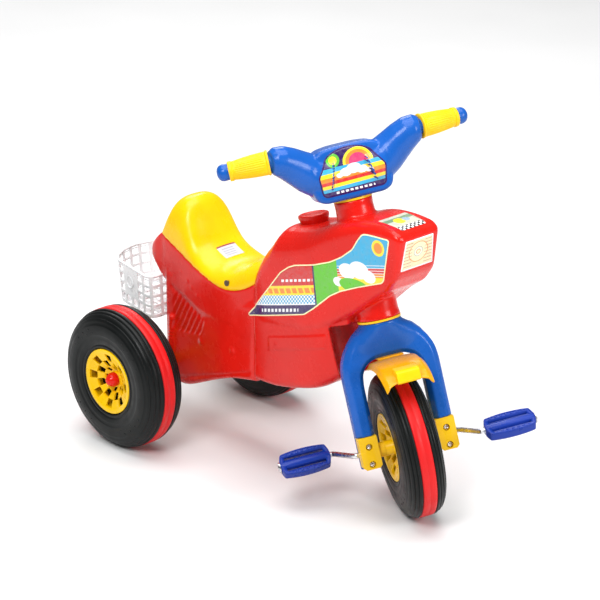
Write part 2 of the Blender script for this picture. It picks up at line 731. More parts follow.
def film(name, outline, place, look, onto, proud, space=ROOT_MM, grid=2.6, thick=1.0):
    """A thin film over a surface: the outline is cut by a grid and cast along look on to onto."""
    bm = bmesh.new()
    verts = [bm.verts.new((space @ Vector(place(u, v))) / MM) for u, v in outline]
    bm.faces.new(verts)
    look = (space.to_3x3() @ Vector(look)).normalized()
    side = look.orthogonal().normalized()
    for axis in (side, look.cross(side)):
        reach = [v.co.dot(axis) for v in bm.verts]
        at = min(reach) + grid
        while at < max(reach):
            geom = bm.verts[:] + bm.edges[:] + bm.faces[:]
            bmesh.ops.bisect_plane(bm, geom=geom, plane_co=axis * at, plane_no=axis, dist=0.01)
            at += grid
    bmesh.ops.remove_doubles(bm, verts=bm.verts[:], dist=0.05)
    tree = BVHTree.FromObject(onto, bpy.context.evaluated_depsgraph_get())
    for v in bm.verts:
        hit = tree.ray_cast(v.co * MM, look)[0]
        if hit is None:
            hit = tree.find_nearest(v.co * MM)[0]
        v.co = hit / MM - look * proud
    for v in bm.verts:
        v.co *= MM
    bm.normal_update()
    if sum(f.normal.dot(look) for f in bm.faces) > 0:
        bmesh.ops.reverse_faces(bm, faces=bm.faces[:])
    obj = object_of(name, bm)
    modifier(obj, "SOLIDIFY", thickness=thick * MM, offset=-1)
    return apply_all(obj)


def side_outline():
    edge = [(192, 247), (195, 244), (318, 283), (336, 297), (355, 314), (367, 325), (386, 337),
            (415, 350), (460, 368), (464, 373), (473, 436), (470, 438), (429, 436), (422, 434),
            (414, 423), (405, 407), (386, 391), (366, 379), (336, 367), (298, 356), (284, 349),
            (267, 336), (236, 298)]
    return rounded(edge, 3.5, 3)


def side_art(name):
    a = Art(name, ROOT_MM, SUN)
    base = a.line(a.z, a.x, -0.30)
    left = a.math("LESS_THAN", a.line(a.x, a.z, 0.12), 378)
    row = lambda lo, hi: a.both(left, a.between(base, lo, hi))
    a.paint(row(150, 203.5), PURPLE)
    check = a.math("MODULO", a.math("ADD", a.math("FLOOR", a.math("DIVIDE", a.x, 3.2)),
                                    a.math("FLOOR", a.math("DIVIDE", base, 3.2))), 2)
    a.paint(row(205.5, 219), WHITE)
    a.paint(a.both(row(205.5, 219), a.math("GREATER_THAN", check, 0.5)), CYAN)
    a.paint(row(203.5, 205.5), WHITE)
    a.paint(a.both(row(222, 230), a.stripes(a.line(a.x, a.z, 0.5), 15, 0.72)), PRINT_ORANGE)
    a.paint(row(234, 290), PRINT_RED)
    a.paint(a.both(row(240, 244), a.stripes(a.x, 9, 0.62), a.between(a.x, 268, 334)), WHITE)
    a.paint(a.both(row(193, 198), a.stripes(a.x, 8, 0.6), a.between(a.x, 226, 306)), WHITE)
    middle = a.between(a.line(a.x, a.z, 0.12), 378, 424)
    a.paint(middle, GREEN)
    a.paint(a.between(a.line(a.x, a.z, 0.12), 376.5, 379.5), PURPLE)
    right = a.math("GREATER_THAN", a.line(a.x, a.z, 0.12), 424)
    sky = a.line(a.z, a.x, -0.25)
    a.paint(a.both(right, a.math("GREATER_THAN", sky, 276)), CYAN)
    a.paint(a.both(right, a.between(sky, 268, 276)), PRINT_RED)
    a.paint(a.both(right, a.between(sky, 262, 268)), PRINT_ORANGE)
    a.paint(a.both(right, a.stripes(sky, 4, 0.22), a.between(sky, 262, 284)), WHITE)
    a.paint(a.disc(a.x, a.z, 452, 420, 12), SUN)
    a.paint(a.disc(a.x, a.z, 452, 420, 8), PRINT_ORANGE)
    # Three overlapping pale hills stand in for the printed picture
    for cx, cz, r in ((398, 372, 15), (418, 378, 17), (436, 372, 12), (382, 352, 9)):
        a.paint(a.disc(a.x, a.z, cx, cz, r, 1.3), WHITE)
    a.paint(a.disc(a.x, a.z, 410, 352, 26, 2.4), GREEN)
    return a.done()


def side_films(onto):
    art = side_art("side_film")
    border = plastic("film_border", CREAM, 0.3)
    for side, name in ((1, "left"), (-1, "right")):
        place = lambda u, v: (u, side * 120, v)
        edge = film(f"side_film_border_{name}", side_outline(), place, (0, -side, 0), onto, 0.25)
        put(edge, "frame", "printed_film", border)
        face = film(f"side_film_{name}", inset(side_outline(), 2.0), place, (0, -side, 0), onto, 0.45)
        put(face, "frame", "printed_film", art, f"side_decal_{name}")


def head_films(onto):
    border = plastic("head_film_border", WHITE, 0.3)
    a = Art("head_film", ROOT_MM, srgb(240, 225, 180))
    for r, c in ((19, PRINT_ORANGE), (17.6, srgb(250, 235, 190)), (9, srgb(150, 160, 150)),
                 (8, srgb(245, 240, 220)), (4.5, PRINT_ORANGE), (3.2, srgb(250, 235, 190))):
        a.paint(a.disc(a.y, a.z, 0, NZ - 43, r, 1.2), c)
    a.paint(a.both(a.stripes(a.z, 5, 0.18), a.math("GREATER_THAN", a.math("ABSOLUTE", a.y), 12)),
            srgb(190, 120, 90))
    z0, z1 = NZ - 68, NZ - 22
    frame_out = rounded([(-31.5, z0), (31.5, z0), (27.5, z1), (-27.5, z1)], 1.5)
    place = lambda u, v: (700, u, v)
    edge = film("head_film_border", frame_out, place, (-1, 0, 0), onto, 0.25)
    put(edge, "frame", "printed_film", border)
    face = film("head_film_face", inset(frame_out, 2.4), place, (-1, 0, 0), onto, 0.5)
    put(face, "frame", "printed_film", a.done(), "head_decal")

    t = Art("top_film", ROOT_MM, srgb(205, 205, 185))
    t.paint(t.between(t.x, NX + 88, NX + 98), srgb(120, 150, 110))
    t.paint(t.disc(t.x, t.y, NX + 100, -4, 9), SUN)
    t.paint(t.disc(t.x, t.y, NX + 100, 9, 6), srgb(150, 180, 200))
    cell = t.math("MODULO", t.math("ADD", t.math("FLOOR", t.math("DIVIDE", t.x, 4)),
                                   t.math("FLOOR", t.math("DIVIDE", t.y, 4))), 2)
    tail = t.math("GREATER_THAN", t.x, NX + 116)
    t.paint(tail, WHITE)
    t.paint(t.both(tail, t.math("GREATER_THAN", t.math("ABSOLUTE", cell), 0.5)), BLACK)
    out = rounded([(NX + 80, -27), (NX + 126, -24), (NX + 126, 24), (NX + 80, 27)], 2)
    place = lambda u, v: (u, v, 700)
    top = film("top_film", out, place, (0, 0, -1), onto, 0.3)
    put(top, "frame", "printed_film", t.done(), "top_decal")


def seat_film(onto):
    low, high = cad_box("seat_label")
    x0, x1, y0, y1 = low.x + 8, high.x, low.y, high.y
    a = Art("seat_film", ROOT_MM, srgb(206, 208, 216))
    a.paint(a.both(a.stripes(a.x, 4.2, 0.34), a.between(a.y, y0 + 6, y1 - 9),
                   a.between(a.x, x0 + 5, x1 - 4)), srgb(168, 172, 186))
    a.paint(a.math("LESS_THAN", a.x, x0 + 2.2), srgb(150, 30, 30))
    out = rounded([(x0, y0), (x1, y0), (x1, y1), (x0, y1)], 1)
    obj = film("seat_film", out, lambda u, v: (u, v, 700), (0, 0, -1), onto, 0.25)
    put(obj, "frame", "label_white", a.done(0.4), "seat_label")


# ---------------------------------------------------------------- trim of the body

def keep(node, mat, bevel=0.6, segments=2):
    """A CAD node that stays, with rounded edges and its own material."""
    obj = frame["nodes"][node]
    obj.data.materials.clear()
    obj.data.materials.append(mat)
    if bevel:
        modifier(obj, "BEVEL", width=bevel * MM, segments=segments, limit_method="ANGLE",
                 angle_limit=math.radians(35))
    modifier(obj, "WEIGHTED_NORMAL", keep_sharp=True)
    for p in obj.data.polygons:
        p.use_smooth = True
    return obj


def tank_cap():
    space = filler_space()
    low, high = cad_box("tank_cap", space)
    r, z0, z1 = (high.x - low.x) / 2, -8.3, high.z
    profile = [(0, z0), (r - 3, z0), (r - 2.2, z0 + 4), (r, z1 - 5.5), (r, z1 - 1.2), (r - 2.5, z1),
               (r - 5, z1), (r - 6, z1 - 1.2), (6, z1 - 1.2), (5, z1 - 0.6), (0, z1 - 0.6)]
    cap = lathe("tank_cap_skin", rounded(profile, 1.6, 3, closed=False), space, 144, closed=False)

    def knurl(p, n):
        q = to_space(space, p)
        around = np.arctan2(q[:, 1], q[:, 0])
        rim = smooth(np.hypot(q[:, 0], q[:, 1]), r - 2.5, r - 0.6) * bell(q[:, 2] - (z1 - 4), 2.4)
        return 0.45 * np.cos(36 * around) * rim - 0.45 * rim

    emboss(cap, knurl)
    return put(cap, "frame", "cap_red", CAP_RED, "tank_cap")


def basket():
    low, high = cad_box("basket")
    rear, front, half = low.x, high.x, high.y
    floor_z, rim_z = low.z, high.z
    side = [(front, half), (rear + 33, half - 18), (rear + 19, half - 28), (rear + 5, 28)]
    plan = [(front, 0)] + side + [(rear, 0)] + [(x, -y) for x, y in reversed(side)]
    radii = [1, 17, 9, 9, 9, 9, 9, 9, 9, 17]
    path = resample(rounded(plan, radii, 5) + [(front, 0)], 2.8, 7)[:-1]
    wall = lattice(path, floor_z, rim_z, (rear, front))
    modifier(wall, "SOLIDIFY", thickness=2.2 * MM, offset=-1, use_even_offset=True)
    modifier(wall, "BEVEL", width=0.5 * MM, segments=2, limit_method="ANGLE",
             angle_limit=math.radians(50))
    apply_all(wall)
    parts = [wall, basket_floor(path, floor_z, front)]
    notch = 50 + 2
    open_path = [p for p in path[1:] if not (abs(p.y) < notch and p.x > front - 6)]
    for z, r in ((rim_z - 1.9, 1.9), (rim_z - 7, 0.9)):
        rim = [(front - 1.2 + (x - front) * 0.982, y * 0.985, z) for x, y in open_path]
        parts.append(tube("basket_rim", rim, r, steps=10))
    for side in (1, -1):
        parts.append(basket_ring(rear + 68, side * (half - 12.2), floor_z + 42, side))
    return put(join("basket_skin", parts), "frame", "basket_white", BASKET_WHITE, "basket")


def basket_ring(x, y, z, side):
    """A plain ring moulded on the blank panel of a side."""
    out = Vector((-0.184, side * 0.983, 0))
    along = Vector((out.y, -out.x, 0))
    space = axes_matrix(along, Vector((0, 0, 1)), out, (x, y, z))
    outline = [(8, -2.2), (10.5, -2.2), (10.2, 0.2), (9.2, 0.6), (8.3, 0.2)]
    return lathe("basket_ring", outline, space, 40)


def resample(points, gap, group=1):
    """Points along a polyline at an even distance, in whole groups."""
    pts = [Vector(p) for p in points]
    lengths = [0.0]
    for a, b in zip(pts, pts[1:]):
        lengths.append(lengths[-1] + (b - a).length)
    count = group * max(2, round(lengths[-1] / gap / group))
    out = []
    for k in range(count + 1):
        d = lengths[-1] * k / count
        i = max(0, min(len(pts) - 2, next((j for j, l in enumerate(lengths) if l >= d), 1) - 1))
        span = lengths[i + 1] - lengths[i] or 1
        out.append(pts[i].lerp(pts[i + 1], (d - lengths[i]) / span))
    return out


# Rows of the basket's wall from the floor up: from, to, and whether it has windows
BASKET_ROWS = [(0, 6, 0), (6, 17.5, 1), (17.5, 22.1, 0), (22.1, 33.6, 1), (33.6, 38.2, 0),
               (38.2, 49.7, 1), (49.7, 54.3, 0), (54.3, 65.8, 1), (65.8, 70, 0)]


def lattice(outline, floor_z, rim_z, reach):
    """A wall along the closed outline: rows of windows, and a blank panel in the middle of each side."""
    verts, faces, at = [], [], {}
    rear, front = reach
    count, panel_x = len(outline), rear + 68
    stretch = (rim_z - floor_z) / BASKET_ROWS[-1][1]

    def vert(i, z):
        i %= count
        key = (i, round(z, 3))
        if key not in at:
            taper = 1 - 0.05 * (1 - (z - floor_z) / (rim_z - floor_z))
            x, y = outline[i]
            at[key] = len(verts)
            verts.append((front + (x - front) * taper, y * taper, z))
        return at[key]

    for i in range(count):
        x, y = (outline[i] + outline[(i + 1) % count]) / 2
        at_front = x > front - 6
        for lo, hi, holes in BASKET_ROWS:
            lo, hi = lo * stretch, hi * stretch
            blank = abs(x - panel_x) < 21 and abs(y) > 50 and hi > 23 * stretch
            if holes and i % 7 > 1 and not blank:
                continue
            if at_front and abs(y) < 52 and floor_z + hi > AXLE_Z + 126:
                continue
            a, b = vert(i, floor_z + lo), vert(i + 1, floor_z + lo)
            faces.append((a, b, vert(i + 1, floor_z + hi), vert(i, floor_z + hi)))
    return make("lattice", verts, faces)


def basket_floor(path, z, front):
    bm = bmesh.new()
    ring = [bm.verts.new((front + (x - front) * 0.94, y * 0.94, z + 1.1)) for x, y in path]
    bm.faces.new(ring)
    bmesh.ops.triangulate(bm, faces=bm.faces[:], ngon_method="EAR_CLIP")
    for v in bm.verts:
        v.co *= MM
    obj = object_of("basket_floor", bm)
    modifier(obj, "SOLIDIFY", thickness=2.2 * MM, offset=0)
    apply_all(obj)
    slots = [box(f"slot_{i}_{j}", (front - 26 - 22 * i, y, z - 5), (front - 12 - 22 * i, y + 9, z + 6))
             for i in range(4) for j, y in enumerate(range(-58 + 6 * i, 50 - 6 * i, 15))]
    return cut(obj, slots)


def rear_fittings():
    keep("rear_axle", STEEL, 0.8)
    keep("rear_spacers", PART_YELLOW, 0.8)
    keep("rear_push_nuts", STEEL, 0.4)
    low, high = cad_box("rear_axle_caps")
    r = (high.x - low.x) / 2
    for side, name in ((1, "left"), (-1, "right")):
        inner = min(abs(v.co.y) for v in frame["nodes"]["rear_axle_caps"].data.vertices) / MM
        space = axes_matrix(Vector((1, 0, 0)), Vector((0, 0, -side)), Vector((0, side, 0)), REAR_HUB_MID)
        dome = [(0, high.y), (3, high.y - 0.3), (6, high.y - 2.2), (9, high.y - 6), (r, high.y - 10),
                (r, inner + 2.5), (r - 0.6, inner + 1.6), (r, inner + 1), (r, inner), (8, inner),
                (8, inner + 2), (5.2, inner + 2), (5.2, inner + 9), (0, inner + 9)]
        cap = lathe(f"axle_cap_{name}", dome, space, 48)
        put(cap, "frame", "cap_red", CAP_RED, "rear_axle_caps")


REAR_HUB_MID = Vector((REAR_HUB.x, 0, REAR_HUB.z))


# ---------------------------------------------------------------- wheels

def wheel_space(node_hub, body_axis, out):
    """Z along the axle, out to the side."""
    axis = body_axis * out
    x = Vector((0, 0, 1)).cross(axis).normalized()
    return axes_matrix(x, axis.cross(x), axis, node_hub)


LEFT_HUB = wheel_space(REAR_HUB, Vector((0, 1, 0)), 1)
MIDDLE_HUB = wheel_space(FRONT_HUB, SIDE_AXIS, 1)
RIM_R = cad_box("rear_hub_outer_left", LEFT_HUB)[1].x
HUB_R = RIM_R - 3
WEB_HALF = 8.0
BAND_HALF = cad_box("rear_band_left", LEFT_HUB)[1].z
# Where the flat rim of a hub disc lies, from the wheel's middle plane
HUB_FACE = {"rear_": cad_box("rear_tyre_left", LEFT_HUB)[1].z - 2.5,
            "front": cad_box("front_tyre", MIDDLE_HUB)[1].z - 2.5}


def tyre(name, space, body, replaced):
    """Blow-moulded wheel: three soft ridges on the shoulder, a full sidewall and a lip round the hub."""
    w, r = cad_box(replaced, space)[1].z, AXLE_Z
    k = (w - BAND_HALF) / 25.5
    ridges = [
        (r - 4, 0.1), (r - 1.6, 0.1), (r - 0.5, 1.6), (r - 0.7, 5.0), (r - 2.6, 6.4), (r - 3.6, 7.0),
        (r - 2.6, 8.0), (r - 3.4, 11.4), (r - 5.8, 12.8), (r - 6.4, 13.4), (r - 5.4, 14.4),
        (r - 7.6, 17.4), (r - 10.6, 18.9), (r - 11.4, 19.2), (r - 11.2, 20.4), (r - 15, 22.6),
        (r - 21, 24.3), (r - 29, 25.3),
        (r - 37, 25.5), (RIM_R + 15, 25.1), (RIM_R + 9, 23.9), (RIM_R + 7, 22.5), (RIM_R + 5, 23.9),
        (RIM_R + 2.4, 23.5), (RIM_R + 0.9, 21.5), (RIM_R + 0.6, 20.5),
    ]
    half = [(a, BAND_HALF + b * k) for a, b in ridges]
    half += [(HUB_R + 0.05, half[-1][1]), (HUB_R + 0.05, WEB_HALF), (HUB_R - 9, WEB_HALF)]
    obj = lathe(name, rounded(half + [(a, -b) for a, b in reversed(half)], 0.9, 2), space, 192)

    def sidewall(p, n):
        q = to_space(space, p)
        turn = np.arctan2(q[:, 1], q[:, 0])
        rad = np.hypot(q[:, 0], q[:, 1])
        wall_side = smooth(np.abs(q[:, 2]), w - 5, w - 3)
        grooves = -0.7 * (bell(rad - 72, 0.9) + bell(rad - 90, 0.8)) * wall_side
        return grooves + 0.25 * (np.cos(2 * turn) - 1) * wall_side

    emboss(obj, sidewall)
    return put(join(name, [obj] + pips(space, w)), body, "wheel_black", WHEEL_BLACK, replaced)


def pips(space, w):
    """Small raised dots in four groups on each sidewall."""
    out = []
    for side in (1, -1):
        for i in range(32):
            a = math.radians(90 * (i // 8) + 24 + 5.4 * (i % 8))
            r = 84 if i % 2 else 78
            place = Matrix.Translation(Vector((r * math.cos(a), r * math.sin(a), side * (w - 2.3))))
            local = space @ place @ Matrix.Diagonal((1, 1, side, 1))
            out.append(lathe("pip", [(0, 0), (1.9, 0), (1.7, 1.3), (1.0, 2.0), (0, 2.2)], local, 10))
    return out


def tread(name, space, body, replaced):
    r, b = AXLE_Z, BAND_HALF - 0.05
    half = [(r - 4, b), (r - 1.6, b), (r - 0.5, b - 0.9), (r, b - 2.4), (r, 1.0), (r - 0.5, 0.35)]
    obj = lathe(name, half + [(a, -c) for a, c in reversed(half)], space, 192)
    return put(obj, body, "tread_red", TREAD_RED, replaced)


def hub_disc(name, space, body, replaced, bore, reach=None):
    """Concave disc with three rings of square windows between raised spokes."""
    reach = reach or cad_box(replaced, space)[1].z
    w, b = HUB_FACE[body[:5]], 12.0
    profile = [
        (bore, 0), (11, 0), (11, b), (HUB_R - 9, w - 5.5), (HUB_R - 2.5, w - 6), (HUB_R - 2.5, WEB_HALF),
        (HUB_R, WEB_HALF), (HUB_R, w - 2.5), (RIM_R, w - 2.5), (RIM_R, w - 0.3), (RIM_R - 1.2, w),
        (HUB_R - 2.5, w), (HUB_R - 4, w - 1.2), (HUB_R - 8, w - 2.6), (32, w - 5.8), (22, w - 11.5),
        (15, b + 3.4), (12.2, b + 2.9), (11, b + 4.5), (11, reach - 0.8), (10.2, reach), (bore, reach),
    ]
    disc = lathe(name, profile, space, 144)
    holes = []
    for share, size, turn in ((0.77, 12.5, 0), (0.545, 10.5, 22.5), (0.36, 6, 0)):
        for i in range(8):
            spot = Matrix.Rotation(math.radians(turn + 45 * i), 4, "Z")
            spot = space @ spot @ Matrix.Translation(Vector((HUB_R * share, 0, b + 6)))
            s, flare = size / 2, size * 0.07
            verts = [(x * s, y * (s + flare * x), z)
                     for x in (-1, 1) for y in (-1, 1) for z in (-17, 17)]
            holes.append(round_edges(make("window", verts, BOX_FACES, spot), 0.8, 2))
    cut(disc, holes)
    modifier(disc, "BEVEL", width=0.45 * MM, segments=2, limit_method="ANGLE",
             angle_limit=math.radians(55))
    apply_all(disc)
    return put(disc, body, "part_yellow", PART_YELLOW, replaced)


def wheels():
    cap_foot = min(abs(v.co.y) for v in frame["nodes"]["rear_axle_caps"].data.vertices) / MM
    boss = cap_foot - 0.3 - REAR_HUB.y
    for side, name in ((1, "left"), (-1, "right")):
        hub = Vector((REAR_HUB.x, side * REAR_HUB.y, REAR_HUB.z))
        body = f"rear_wheel_{name}"
        out = wheel_space(hub, Vector((0, 1, 0)), side)
        inward = wheel_space(hub, Vector((0, 1, 0)), -side)
        tyre(f"tyre_rear_{name}", out, body, f"rear_tyre_{name}")
        tread(f"tread_rear_{name}", out, body, f"rear_band_{name}")
        hub_disc(f"hub_rear_outer_{name}", out, body, f"rear_hub_outer_{name}", 5.06, boss)
        hub_disc(f"hub_rear_inner_{name}", inward, body, f"rear_hub_inner_{name}", 5.06)
    left, right = (wheel_space(FRONT_HUB, SIDE_AXIS, s) for s in (1, -1))
    tyre("tyre_front", left, "front_wheel", "front_tyre")
    tread("tread_front", left, "front_wheel", "front_band")
    hub_disc("hub_front_left", left, "front_wheel", "front_hub_left", 4)
    hub_disc("hub_front_right", right, "front_wheel", "front_hub_right", 4)
    keep("front_spacers", PART_YELLOW, 0.8)


# ---------------------------------------------------------------- steering

BAR_LOW = cad_box("dash_decal", STEERED)[0].z - 10
BAR_S = BAR_LOW + 78
ARCH_S = cad_box("mudguard", STEERED)[1].z
CROWN_S = cad_box("fork", STEERED)[1].z


def mirrored(points):
    return points + [(-a, b) for a, b in reversed(points)]


def grip_space(side):
    """Z outwards along the bar from the elbow."""
    sweep = math.radians(11)
    along = Vector((-math.sin(sweep), side * math.cos(sweep), 0))
    up = Vector((0, 0, 1))
    local = Matrix((along.cross(up) * side, up, along)).transposed().to_4x4()
    return STEERED @ Matrix.Translation(Vector((29, side * 100, BAR_S))) @ local


def handlebar():
    panel = mirrored([(44, BAR_LOW), (55, BAR_LOW + 5), (60, BAR_LOW + 16), (60.5, BAR_LOW + 44),
                      (57, BAR_LOW + 60), (50, BAR_LOW + 70), (40, BAR_LOW + 76.5), (20, BAR_LOW + 79)])
    core = prism("panel", rounded(panel, 7, 4), -16, 33, STEERED)
    shapes = [round_edges(core, 6, 4, 50)]
    for side in (1, -1):
        path = [(8, 30, 38), (9, 46, 42), (13, 60, 50), (18, 73, 60), (23, 85, 69), (27.5, 97, 76),
                (30, 106, 78), (31, 112, 78.2)]
        points = [(x, side * y, s + BAR_LOW) for x, y, s in path]
        shapes.append(tube("arm", points, [34, 32, 29, 26.5, 24.5, 22.6, 20.5, 15.5], STEERED, 28))
        space = grip_space(side)
        end = 76.9
        bar = [(0, -4), (12, -4), (12, end - 1), (12.5, end), (12.4, end + 4), (11, end + 8),
               (7.5, end + 11), (3.5, end + 12.3), (0, end + 12.5)]
        shapes.append(lathe("bar", bar, space, 40))
    obj = fuse("handlebar_skin", shapes, 1.5, 6)

    def waist(p, n):
        q = to_space(STEERED, p)
        front_face = smooth(q[:, 0], 26, 30)
        frame_line = bell(np.abs(q[:, 1]) - 56.5, 2.0) * smooth(q[:, 2], BAR_LOW + 12, BAR_LOW + 18)
        frame_line *= 1 - smooth(q[:, 2], BAR_LOW + 52, BAR_LOW + 60)
        return 0.6 * frame_line * front_face

    emboss(obj, waist)
    return put(obj, "steering", "part_blue", PART_BLUE, "handlebar")


def grip(side, name):
    low, high = 13.0, 72.0
    space = grip_space(side)
    steps, rings = 192, []
    stations = [(low, 12.2), (low, 17.6), (low + 0.6, 18.4), (low + 2.4, 18.5), (low + 3.1, 18.0),
                (low + 3.4, 17.2)]
    body_from, body_to = low + 5, high - 7
    for k in range(25):
        t = k / 24
        swell = 17.3 - 3.7 * t + 0.8 * math.sin(math.pi * t)
        stations.append((body_from + (body_to - body_from) * t, swell))
    stations += [(high - 6, 13.2), (high - 5.6, 14.3), (high - 5, 14.6), (high - 1, 14.5), (high, 13.9),
                 (high, 12.2)]
    for z, r in stations:
        inside = smooth(np.array(z), low + 5, low + 9) * (1 - smooth(np.array(z), high - 12, high - 8))
        ring = []
        for i in range(steps):
            a = 2 * math.pi * i / steps
            rr = r + (0.42 * math.cos(32 * a) - 0.42) * float(inside)
            ring.append((rr * math.cos(a), rr * math.sin(a), z))
        rings.append(ring)
    obj = skin(f"grip_skin_{name}", rings, space, caps=False)
    return put(obj, "steering", "grip_yellow", GRIP_YELLOW, f"grip_{name}")


def dash_film(onto):
    z = BAR_LOW
    arch = [(40 * math.cos(math.radians(a)), z + 53 + 23 * math.sin(math.radians(a)))
            for a in range(20, 161, 10)]
    outline = [(-43, z + 9), (43, z + 9), (48, z + 13), (51, z + 40), (46, z + 47), (42, z + 53)]
    outline += arch[1:-1] + [(-42, z + 53), (-46, z + 47), (-51, z + 40), (-48, z + 13)]
    border = plastic("dash_film_border", PURPLE, 0.28)
    place = lambda u, v: (120, u, v)
    edge = film("dash_film_border", rounded(outline, 4, 3), place, (-1, 0, 0), onto, 0.25, STEERED)
    put(edge, "steering", "printed_film", border)
    a = Art("dash_film", STEERED, CYAN)
    top = a.math("GREATER_THAN", a.z, z + 50)
    a.paint(a.both(top, a.disc(a.y, a.z, 0, z + 50, 44)), PURPLE)
    for r, c in ((22, SUN), (18, PRINT_ORANGE), (13, srgb(225, 50, 110))):
        a.paint(a.both(top, a.disc(a.y, a.z, 12, z + 52, r, 1.1)), c)
    a.paint(a.both(top, a.disc(a.y, a.z, -24, z + 60, 10)), GREEN)
    a.paint(a.both(top, a.disc(a.y, a.z, -24, z + 60, 6)), SUN)
    bands = ((44, 50, CYAN), (38, 44, SUN), (32, 38, PRINT_ORANGE), (27, 32, PRINT_RED), (22, 27, SUN),
             (17, 22, CYAN), (10, 17, PURPLE))
    for low, high, colour in bands:
        a.paint(a.between(a.line(a.z, a.y, -0.02), z + low, z + high), colour)
    a.paint(a.both(a.between(a.z, z + 12, z + 15), a.stripes(a.y, 7, 0.6),
                   a.math("LESS_THAN", a.math("ABSOLUTE", a.y), 30)), WHITE)
    # Two pale rolling clouds stand in for the printed picture
    for cy, cz, r in ((-8, 40, 9), (4, 43, 11), (16, 39, 8), (26, 36, 5), (-18, 37, 5)):
        a.paint(a.disc(a.y, a.z, cy, z + cz, r, 1.5), WHITE)
    face = film("dash_film", inset(rounded(outline, 4, 3), 2.2), place, (-1, 0, 0), onto, 0.45, STEERED)
    put(face, "steering", "printed_film", a.done(), "dash_decal")


def fork():
    """Faceted legs that run up into a domed crown under the neck."""
    top, foot, low = CROWN_S, -22.0, -60.0
    legs = mirrored([(34, top - 8), (50, top - 20), (62, top - 34), (70.5, top - 52),
                     (73, top - 70), (73, low)])
    arch = mirrored([(22, ARCH_S - 1), (35, ARCH_S - 7), (42.5, ARCH_S - 18), (45, ARCH_S - 34),
                     (45, low)])
    legs, arch = rounded(legs, 7, 4), rounded(arch, 8, 5)
    outer = skin("legs", [[(x, y, s) for y, s in inset(legs, d)]
                          for x, d in ((-17, 8), (-9, 0), (9, 0), (17, 8))], STEERED)
    inner = skin("arch", [[(x, y, s) for y, s in inset(arch, d)]
                          for x, d in ((-40, -27), (-9.5, 0), (9.5, 0), (40, -27))], STEERED)
    rings = []
    for drop, half_w, half_d, square in ((0, 31, 31, 2), (4, 32, 31.5, 2), (14, 46, 28, 2.2),
                                         (26, 57, 24, 2.5), (40, 64, 19, 2.8), (52, 66, 15, 3)):
        ring = []
        for k in range(72):
            a = 2 * math.pi * k / 72
            c, n = math.cos(a), math.sin(a)
            ring.append((half_d * math.copysign(abs(c) ** (2 / square), c),
                         half_w * math.copysign(abs(n) ** (2 / square), n), top - drop))
        rings.append(ring)
    crown = skin("crown", rings, STEERED)
    obj = fuse("fork_skin", [outer, crown], 1.5, 3)
    for tool in (inner, box("notch", (0, -80, -70), (30, 80, 26), STEERED),
                 box("below", (-40, -80, -80), (40, 80, foot), STEERED)):
        cut(obj, [tool])
    obj = fuse("fork_skin", [obj], 1.4, 5)

    def seams(p, n):
        q = to_space(STEERED, p)
        parting = 0.5 * bell(q[:, 0], 0.9) * smooth(np.abs(q[:, 1]), 40, 44)
        return parting * smooth(q[:, 2], 28, 34)

    emboss(obj, seams)
    return put(obj, "steering", "part_blue", PART_BLUE, "fork")


def mudguard():
    """A short saddle-shaped shield on the fork's arch, with a raised block at its tip."""
    line = [(17.6, ARCH_S - 2.6), (30, ARCH_S - 1), (44, ARCH_S - 0.4), (58, ARCH_S - 1.5),
            (76, ARCH_S - 5), (92, ARCH_S - 12), (103, ARCH_S - 19.5), (110, ARCH_S - 26), (113, ARCH_S - 31)]
    half, rings, fine, steps = 38.0, [], 6, 44
    count = (len(line) - 1) * fine
    for i in range(count + 1):
        x, s = catmull(line, i / fine)
        ring = []
        for k in range(steps + 1):
            v = -1 + 2 * k / steps
            side = smooth(abs(v), 0.82, 1.0)
            drop = (3.2 * abs(v) ** 2.2 + 6.5 * side) * (1 - 0.35 * i / count)
            # The front edge is cut back in a shallow arch between two pointed lips
            back = 9.0 * smooth(i / count, 0.75, 1.0) * (1 - abs(v) ** 2.5)
            across = v * (half - 2.5 * i / count)
            ring.append((x - 0.3 * drop - 0.25 * back, across, s - drop + 0.7 * back))
        rings.append(ring)
    shell = skin("guard", rings, STEERED, caps=False, closed=False)
    outward(shell)
    modifier(shell, "SOLIDIFY", thickness=2.4 * MM, offset=-1)
    modifier(shell, "BEVEL", width=0.7 * MM, segments=2, limit_method="ANGLE",
             angle_limit=math.radians(50))
    apply_all(shell)
    tab = box("tab", (-17, -19.8, ARCH_S - 2.6), (22, 19.8, ARCH_S - 0.2), STEERED, 0.8)
    put(join("mudguard_skin", [shell, tab]), "steering", "guard_orange", GUARD_ORANGE, "mudguard")
    block = [(90, ARCH_S - 7), (111, ARCH_S - 9), (115.5, ARCH_S - 12), (115.8, ARCH_S - 26),
             (110, ARCH_S - 29), (92, ARCH_S - 15)]
    raised = prism("mudguard_block", rounded(block, 1.5, 3), -17, 17, STEERED, "xz")
    put(round_edges(raised, 1.8, 3, 40), "steering", "part_yellow", PART_YELLOW)


def small_steering_parts():
    for node, mat, bevel in (("steering_column", STEEL, 0.5), ("handlebar_screw", STEEL, 0.4),
                             ("seat_screws", DARK_STEEL, 0.3), ("basket_screws", STEEL, 0.3)):
        keep(node, mat, bevel)
    for node in ("neck_bush_upper", "neck_bush_lower"):
        keep(node, PART_YELLOW, 0.7)
    for name in ("left", "right"):
        keep(f"axle_clamp_{name}", PART_YELLOW, 1.6, 3)
    screws()


